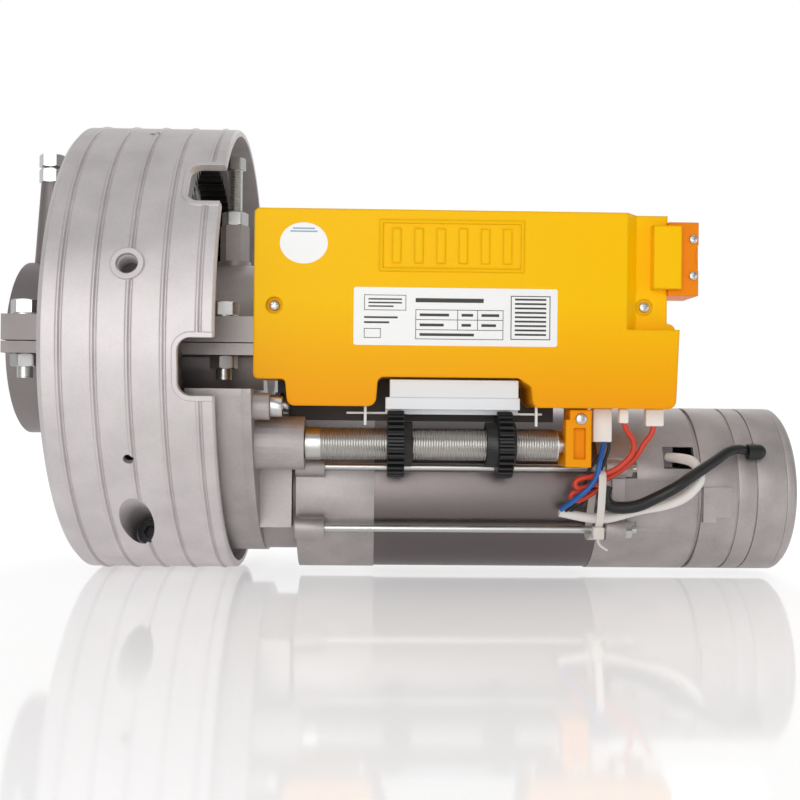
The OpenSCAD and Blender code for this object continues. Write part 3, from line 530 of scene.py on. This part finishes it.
# clamp bolts and their nuts
bm = bmesh.new()
HEAD_8 = 8.0
for low, high in island_boxes("clamp_bolts"):
    centre = (low + high) / 2
    seat = Vector((centre.x, centre.y, high.z - HEAD_8 * MM))
    lathe(bm, [(0, 7.3), (1.0, 7.3), (1.3, 7.0)], seat, Z, 40)
    hexagon(bm, seat + Z * 1.3 * MM, Z, 12.6, HEAD_8 - 1.3, dish=0.5, turn=0.35)
    lathe(bm, [(0, 3.9), (seat.z / MM - low.z / MM, 3.9)], Vector((centre.x, centre.y, low.z)), Z,
          28)
    helix(bm, Vector((centre.x, centre.y, low.z + 0.2 * MM)), Z, 6.5, 1.25, 3.95, 0.6, 28)
face_out(bm)
piece("clamp_bolts_turned", bm, "zinc", "frame", ("clamp_bolts",))

bm = bmesh.new()
for low, high in island_boxes("clamp_nuts"):
    centre = (low + high) / 2
    hexagon(bm, Vector((centre.x, centre.y, low.z)), Z, 12.8, (high.z - low.z) / MM, 4.0, True,
            turn=0.2)
face_out(bm)
piece("clamp_nuts_turned", bm, "zinc", "frame", ("clamp_nuts",))

# lock screws with their lock nuts
bm = bmesh.new()
LOCK_HEAD = 7.0
for low, high in island_boxes("lock_screws"):
    centre = (low + high) / 2
    flats = min(high.x - low.x, high.y - low.y) / MM
    base = Vector((centre.x, centre.y, high.z - LOCK_HEAD * MM))
    hexagon(bm, base, Z, flats, LOCK_HEAD, both=True, dish=0.5, turn=0.5)
    helix(bm, Vector((centre.x, centre.y, low.z)), Z, (base.z - low.z) / MM, 1.25, 4.0, 0.65, 30)
face_out(bm)
piece("lock_screws_turned", bm, "zinc", "frame", ("lock_screws",))

bm = bmesh.new()
for low, high in island_boxes("lock_nuts"):
    centre = (low + high) / 2
    hexagon(bm, Vector((centre.x, centre.y, low.z)), Z, 12.9, (high.z - low.z) / MM, 4.1, True,
            turn=0.5)
face_out(bm)
piece("lock_nuts_turned", bm, "zinc", "frame", ("lock_nuts",))

bm = bmesh.new()
for low, high in island_boxes("tie_rod_nuts"):
    centre = (low + high) / 2
    hexagon(bm, Vector((low.x, centre.y, centre.z)), X, 7.9, (high.x - low.x) / MM, 2.0, True)
face_out(bm)
piece("tie_rod_nuts_turned", bm, "zinc", "frame", ("tie_rod_nuts",))

# limit screw: the CAD's wheel and shaft with a helical thread
limit_axis = Vector((0, *[(a + b) / 2 for a, b in zip(*[list(v)[1:] for v in
                                                         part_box("limit_wheel_left")])]))
THREAD_X0, THREAD_SPAN, THREAD_PITCH, THREAD_R = 0.086, 117, 1.25, 8.0
turns = math.floor(THREAD_SPAN / THREAD_PITCH)
THREAD_X1 = THREAD_X0 + turns * THREAD_PITCH * MM
bm = bmesh.new()
bm.from_mesh(NODES["limit_screw"].data)
bmesh.ops.remove_doubles(bm, verts=bm.verts, dist=2e-6)
doomed = [f for f in bm.faces
          if all(THREAD_X0 - 1e-5 < v.co.x < THREAD_X1 + 1e-5 for v in f.verts)]
bmesh.ops.delete(bm, geom=doomed, context="FACES")
loose = [e for e in bm.edges if not e.link_faces]
bmesh.ops.delete(bm, geom=loose, context="EDGES")
helix(bm, Vector((THREAD_X0, limit_axis.y, limit_axis.z)), X, turns * THREAD_PITCH, THREAD_PITCH,
      THREAD_R, 0.72, 56, 6)
piece("limit_screw_thread", bm, "thread", "limit_shaft", ("limit_screw",),
      smooth=50)

# tapped holes of the crown
crown_turn = math.radians(164)
for name, turn in (("front", crown_turn), ("rear", crown_turn + math.pi)):
    out = Vector((0, math.cos(turn), math.sin(turn)))
    bm = bmesh.new()
    helix(bm, out * 0.1085, out, 11.4, 1.5, 5.0, 0.75, 40, 8, caps=False, inner=True)
    piece("crown_thread_" + name, bm, "crown", "crown", smooth=50)


# ---- screws with a crosswise recess ----


def cross_head(bm, centre, axis, radius, height, recess=1.0):
    """A domed head in mm, a cross driven into it."""
    u, v = basis(axis)
    around, rings = 64, 22
    rows = [[centre + (u * math.cos(2 * math.pi * k / around)
                       + v * math.sin(2 * math.pi * k / around)) * radius * MM
             for k in range(around)]]
    for i in range(rings):
        r = radius * (1 - i / (rings - 0.5))
        dome = height * (0.45 + 0.55 * math.sqrt(max(0.0, 1 - (r / radius) ** 2)))
        ring = []
        for k in range(around):
            a = 2 * math.pi * k / around
            x, y = r * math.cos(a), r * math.sin(a)
            arm = min(abs(x), abs(y)) < 0.17 * radius and max(abs(x), abs(y)) < 0.62 * radius
            ring.append(centre + (u * x + v * y + axis * (dome - (recess if arm else 0))) * MM)
        rows.append(ring)
    grid(bm, rows)


def cross_screws(name, places, axis, radius, height, stands_for=()):
    """Cross-recessed heads at places in metres, radius and height in mm."""
    bm = bmesh.new()
    for place in places:
        cross_head(bm, Vector(place), axis, radius, height, min(1.0, height * 0.6))
    face_out(bm)
    return piece(name, bm, "zinc", "frame", stands_for, smooth=60)


front = -Y
HEAD_DEPTH = 2 * MM
cross_screws("box_screw_heads", [Vector(((low.x + high.x) / 2, low.y + HEAD_DEPTH,
                                          (low.z + high.z) / 2))
                                 for low, high in island_boxes("box_screws")], front, 2.6, 1.9,
             stands_for=("box_screws",))
cross_screws("connector_screw_heads", [Vector(((low.x + high.x) / 2, high.y,
                                                (low.z + high.z) / 2))
                                       for low, high in island_boxes("connector_screws")],
             front, 2.1, 1.5, stands_for=("connector_screws",))
low, high = island_boxes("limit_bracket_screw")[0]
cross_screws("limit_bracket_screw_head", [Vector(((low.x + high.x) / 2, low.y + HEAD_DEPTH,
                                                   (low.z + high.z) / 2))], front, 2.8, 1.9,
             stands_for=("limit_bracket_screw",))
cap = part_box("brake_end_cap")
motor = Vector((0, (cap[0].y + cap[1].y) / 2, (cap[0].z + cap[1].z) / 2))
CAP_SCREW_R, CAP_SCREW_ANGLES = 36, (21, 141, 261)
cross_screws("end_cap_screws", [
    Vector((cap[1].x - HEAD_DEPTH, motor.y + CAP_SCREW_R * MM * math.cos(math.radians(a)),
            motor.z + CAP_SCREW_R * MM * math.sin(math.radians(a)))) for a in CAP_SCREW_ANGLES],
    X, 2.8, 1.8)


# ---- label and sticker ----


def slab(bm, outline, y0, y1):
    """A plate between y0 and y1 with an outline in X and Z, all in mm."""
    low = [Vector((x, y0, z)) * MM for x, z in outline]
    high = [Vector((x, y1, z)) * MM for x, z in outline]
    grid(bm, [low, high])


def corners(x0, z0, x1, z1, r=1.2, steps=5):
    out = []
    for cx, cz, start in ((x1 - r, z1 - r, 0), (x0 + r, z1 - r, 90), (x0 + r, z0 + r, 180),
                          (x1 - r, z0 + r, 270)):
        for k in range(steps + 1):
            a = math.radians(start + 90 * k / steps)
            out.append((cx + r * math.cos(a), cz + r * math.sin(a)))
    return out


lx0, lz0 = label_box[0].x / MM, label_box[0].z / MM
lx1, lz1 = label_box[1].x / MM, label_box[1].z / MM
paper_y = label_box[0].y / MM
bm = bmesh.new()
slab(bm, corners(lx0, lz0, lx1, lz1), paper_y + 0.05, FRONT / MM)
face_out(bm)
piece("rating_label_paper", bm, "paper", "frame", ("rating_label",))

bm = bmesh.new()
INK_Y = (paper_y, paper_y + 0.08)


def ink(x0, z0, x1, z1):
    slab(bm, [(lx0 + x1, lz0 + z0), (lx0 + x1, lz0 + z1), (lx0 + x0, lz0 + z1),
              (lx0 + x0, lz0 + z0)], *INK_Y)


def ruled_box(x0, z0, x1, z1, pen=0.3):
    ink(x0, z0, x1, z0 + pen)
    ink(x0, z1 - pen, x1, z1)
    ink(x0, z0, x0 + pen, z1)
    ink(x1 - pen, z0, x1, z1)


# plain table of blank fields with short bars, and a plain framed block
ruled_box(29.5, 3.0, 71.5, 17.2)
for z in (7.4, 12.2):
    ink(29.5, z, 71.5, z + 0.3)
for x in (49.5, 59.0):
    ink(x, 7.4, x + 0.3, 17.2)
for x, z, w in ((31.5, 14.0, 14), (51.5, 14.0, 5.5), (61.0, 14.0, 8.5), (31.5, 9.2, 11.5),
                (51.5, 9.2, 4.5), (61.0, 9.2, 7.0), (31.5, 4.6, 26)):
    ink(x, z, x + w, z + 1.3)
ink(29.5, 20.6, 62.0, 22.6)
ruled_box(5.0, 16.6, 25.0, 24.0)
for k in range(3):
    ink(7.0, 18.2 + 1.7 * k, 23.0 - 4.0 * (k == 0), 18.9 + 1.7 * k)
ink(5.0, 12.8, 21.0, 13.7)
ink(5.0, 10.4, 17.0, 11.3)
ruled_box(5.0, 3.4, 13.0, 8.0)
ruled_box(75.0, 3.2, 94.0, 24.2, 0.4)
for k in range(9):
    ink(77.0, 5.2 + 2.1 * k, 92.0, 6.1 + 2.1 * k)
face_out(bm)
piece("rating_label_print", bm, "print", "frame")

sticker_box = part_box("round_sticker")
sticker = (sticker_box[0] + sticker_box[1]) / 2
STICKER_RX, STICKER_RZ = 11.4, 9.8
bm = bmesh.new()
slab(bm, [(sticker.x / MM + STICKER_RX * math.cos(2 * math.pi * k / 72),
           sticker.z / MM + STICKER_RZ * math.sin(2 * math.pi * k / 72)) for k in range(72)][::-1],
     sticker_box[0].y / MM + 0.05, FRONT / MM)
face_out(bm)
piece("round_sticker_paper", bm, "paper", "frame", ("round_sticker",))
bm = bmesh.new()
for k, (half, z) in enumerate(((5.2, 6.6), (6.4, 5.2))):
    slab(bm, [(sticker.x / MM + x, sticker.z / MM + h) for x, h in
              ((half, z), (half, z + 0.7), (-half, z + 0.7), (-half, z))],
         sticker_box[0].y / MM, sticker_box[0].y / MM + 0.08)
face_out(bm)
piece("round_sticker_print", bm, "faint_print", "frame")


# ---- wiring ----

RED_UPPER = [(234.2, -81.7, -36.5), (236, -81.5, -41), (239.3, -81, -46), (239.3, -80, -52),
             (234.4, -79, -58), (229, -78.5, -61.5), (222, -78.3, -63.6), (216, -78.3, -64.6),
             (212.4, -78.3, -66), (211.6, -78.3, -68.2), (213.8, -78.2, -69.8),
             (218.2, -77.8, -68.8), (222.6, -77.1, -67.4), (226, -76.6, -67.8),
             (227.3, -76.2, -71.5)]
RED_LOWER = [(250.6, -76.7, -38), (249.2, -76.7, -43), (246.2, -76.6, -47), (242.8, -76, -53),
             (239, -75.2, -57.5), (233.4, -74.8, -62), (223.5, -74.3, -67.3), (215.5, -73.8, -70.4),
             (211, -73.4, -72.8), (210.8, -73.2, -75.2), (213.8, -73.2, -76.2),
             (218.2, -73.4, -74.4), (222.4, -73.8, -71.6), (225.6, -74.2, -70.2),
             (227, -74.4, -72.8)]
BLUE = [(205.8, -72, -80.8), (209, -76.5, -77.6), (213, -80, -73.8), (217.5, -81.4, -69.6),
        (221, -82.2, -64.5), (222.6, -82.4, -58), (224.2, -80, -52), (226, -77, -46.2)]
WHITE = [(206, -66, -82.5), (214, -66, -84.3), (223, -66, -85.6), (231, -67.5, -85),
         (244.6, -67.5, -81.5), (257.5, -68, -79), (265.4, -69, -76), (271, -70, -72),
         (275.5, -70, -66.5), (276, -68, -61.5), (273.5, -64, -57), (269, -58, -55.6),
         (264.5, -51, -55.4)]
BLACK = [(227.6, -75.4, -68.5), (226.6, -75.2, -73), (228, -74.7, -77.2), (233, -74.7, -79.4),
         (242.7, -75.2, -78.6), (252.5, -75.4, -74.3), (262.4, -76.4, -68.8),
         (270.6, -75, -63.4), (281.8, -70.6, -57), (290.9, -65.6, -51.8),
         (297.4, -61.6, -50.6), (302.8, -59.6, -51.4)]


def wire(name, points, radius, mat, node):
    bm = bmesh.new()
    tube(bm, smooth_path(points), radius)
    face_out(bm)
    return piece(name, bm, mat, "frame", (node,), smooth=60)


wire("red_wire_a", RED_UPPER, 1.35, "red", "red_wire_upper")
wire("red_wire_b", RED_LOWER, 1.35, "red", "red_wire_lower")
wire("blue_wire_a", BLUE, 1.3, "blue", "blue_wire")


def sheath(name, points, radius, mat, node, wall=0.7, depth=5):
    """A cable sheath, hollow and slightly flared at its open first end."""
    bm = bmesh.new()
    path = smooth_path(points)
    rows = tube(bm, path, radius, 24, caps=False)
    first = rows[0]
    middle = sum((v.co for v in first), Vector()) / len(first)
    way = (path[1] - path[0]).normalized()
    inner = [[bm.verts.new(middle + (v.co - middle) * (1 - wall / 2.6) + way * d * MM)
              for v in first] for d in (0, depth)]
    for low, high in ((first, inner[0]), (inner[0], inner[1])):
        for j in range(len(low)):
            k = (j + 1) % len(low)
            bm.faces.new((low[j], low[k], high[k], high[j]))
    bm.faces.new(inner[1])
    bm.faces.new(rows[-1])
    face_out(bm)
    return piece(name, bm, mat, "frame", (node,), smooth=60)


sheath("white_cable_sheath", WHITE, lambda t: 2.5 - 0.15 * math.sin(20 * t), "cable_white",
       "white_cable")
sheath("black_cable_sheath", BLACK, lambda t: 3.3 - 0.9 * t, "black",
       "black_cable")
# short leads and the splice under the box
bm = bmesh.new()
for path in (((226.3, -76.5, -45), (225.4, -76.8, -50), (222.6, -77.2, -55), (219.8, -77.4, -59),
              (217.6, -77, -63), (216.5, -76, -69), (214, -72.5, -77), (208.6, -67.4, -82.2)),
             ((228.4, -75.5, -45), (228.6, -75.7, -50), (226.8, -75.4, -56), (224.4, -74.8, -62),
              (222, -72.4, -70), (216, -69, -79), (209, -66.6, -82.8))):
    tube(bm, smooth_path(path), 0.8, 12)
face_out(bm)
piece("black_leads", bm, "black", "frame", smooth=60)

# zip tie round the cables and the lower rod
TIE_X = 223.0
loop = [(-84.3, -66), (-84.9, -78), (-82.6, -87.5), (-75, -93.4), (-64, -96.2), (-58.0, -94.2),
        (-58.6, -87), (-60.4, -79.5), (-64, -70.5), (-72, -63.2), (-80.6, -61.6)]
points = [(TIE_X + 0.06 * (z + 80), y, z) for y, z in loop]
ring = smooth_path(points + points[:2])[: 10 * len(points)]
bm = bmesh.new()
rows = []
for i, p in enumerate(ring):
    way = (ring[(i + 1) % len(ring)] - ring[i - 1]).normalized()
    out = way.cross(X).normalized()
    rows.append([p + (X * a + out * b) * MM for a, b in
                 ((-1.8, -0.5), (-1.8, 0.35), (-1.4, 0.55), (1.4, 0.55), (1.8, 0.35), (1.8, -0.5))])
grid(bm, rows, closed_rows=True)


def rounded_block(bm, low, high, r, steps=3):
    """A box in mm with rounded corners and edges."""
    made = bmesh.ops.create_cube(bm, size=1)["verts"]
    size = Vector(high) - Vector(low)
    for vert in made:
        vert.co = Vector([low[i] + (vert.co[i] + 0.5) * size[i] for i in range(3)]) * MM
    edges = {e for vert in made for e in vert.link_edges}
    bmesh.ops.bevel(bm, geom=list(edges), offset=r * MM, segments=steps, affect="EDGES",
                    profile=0.5)


rounded_block(bm, (TIE_X - 3.6, -84.6, -94.2), (TIE_X + 1.9, -79.4, -88.2), 0.7)
tail = smooth_path([(TIE_X - 0.8, -82.2, -93.8), (TIE_X + 0.4, -81.6, -97.0),
                    (TIE_X + 4.4, -80.6, -99.8)])
rows = []
for i, p in enumerate(tail):
    way = (tail[min(i + 1, len(tail) - 1)] - tail[max(i - 1, 0)]).normalized()
    wide = Vector((0.35, 0.94, 0)).normalized()
    out = way.cross(wide).normalized()
    taper = 1 - 0.45 * i / (len(tail) - 1)
    rows.append([p + (wide * a * taper + out * b) * MM for a, b in
                 ((-1.8, -0.5), (-1.8, 0.5), (1.8, 0.5), (1.8, -0.5))])
grid(bm, rows)
face_out(bm)
piece("cable_tie_strap", bm, "tie", "frame", ("cable_tie",))


# ---- floor, light and camera ----

floor_z = cad_box[0].z - 0.0003
bpy.ops.mesh.primitive_plane_add(size=14, location=(0, 0, floor_z))
floor = bpy.context.object
floor.name = "floor"
floor.data.materials.append(MAT["floor"])
MAT["floor"].node_tree.nodes["Principled BSDF"].inputs["Emission Color"].default_value = (
    1, 1, 1, 1)


def area_light(name, place, target, size, power, colour=(1, 1, 1), size_y=None):
    data = bpy.data.lights.new(name, "AREA")
    data.shape, data.size, data.energy, data.color = "RECTANGLE", size, power, colour
    data.size_y = size_y or size
    lamp = bpy.data.objects.new(name, data)
    bpy.context.collection.objects.link(lamp)
    lamp.location = place
    lamp.visible_camera = False
    lamp.rotation_euler = (Vector(target) - Vector(place)).to_track_quat("-Z", "Y").to_euler()


centre = (cad_box[0] + cad_box[1]) / 2
area_light("key", (-0.35, -2.0, 0.25), centre, 1.5, 21, size_y=1.5)
area_light("top", (0.3, -0.5, 1.7), centre, 1.2, 3)
area_light("fill", (1.7, -1.2, 0.1), centre, 0.7, 3)
area_light("rim", (0.4, 1.5, 1.0), centre, 1.0, 3)

# white round the back of the object, grey from the front, white where the camera sees it
world = bpy.data.worlds.new("studio")
bpy.context.scene.world = world
world.use_nodes = True
tree = world.node_tree
sky = tree.nodes["Background"]
sky.inputs["Color"].default_value = (1, 1, 1, 1)
way = tree.nodes.new("ShaderNodeTexCoord")
parts = tree.nodes.new("ShaderNodeSeparateXYZ")
level = tree.nodes.new("ShaderNodeMapRange")
for key, value in (("From Min", 0.1), ("From Max", 0.6), ("To Min", 0.32), ("To Max", 0.9)):
    level.inputs[key].default_value = value
seen = tree.nodes.new("ShaderNodeLightPath")
lit = tree.nodes.new("ShaderNodeMath")
lit.operation = "MAXIMUM"
tree.links.new(way.outputs["Generated"], parts.inputs["Vector"])
tree.links.new(parts.outputs["Y"], level.inputs["Value"])
tree.links.new(level.outputs["Result"], lit.inputs[0])
tree.links.new(seen.outputs["Is Camera Ray"], lit.inputs[1])
tree.links.new(lit.outputs["Value"], sky.inputs["Strength"])

camera_data = bpy.data.cameras.new("camera")
camera = bpy.data.objects.new("camera", camera_data)
bpy.context.collection.objects.link(camera)
bpy.context.scene.camera = camera
camera_data.lens = 49.4
CAMERA_AT = (0.112, -0.615, -0.030)
YAW, PITCH, ROLL = 0.0245, 0.005, 0.010
forward = Vector((math.sin(YAW) * math.cos(PITCH), math.cos(YAW) * math.cos(PITCH),
                  math.sin(PITCH)))
right = Vector((math.cos(YAW), -math.sin(YAW), 0))
above = right.cross(forward)
turned_right = right * math.cos(ROLL) + above * math.sin(ROLL)
turned_up = above * math.cos(ROLL) - right * math.sin(ROLL)
camera.matrix_world = Matrix((
    *[(turned_right[i], turned_up[i], -forward[i], CAMERA_AT[i]) for i in range(3)],
    (0, 0, 0, 1)))
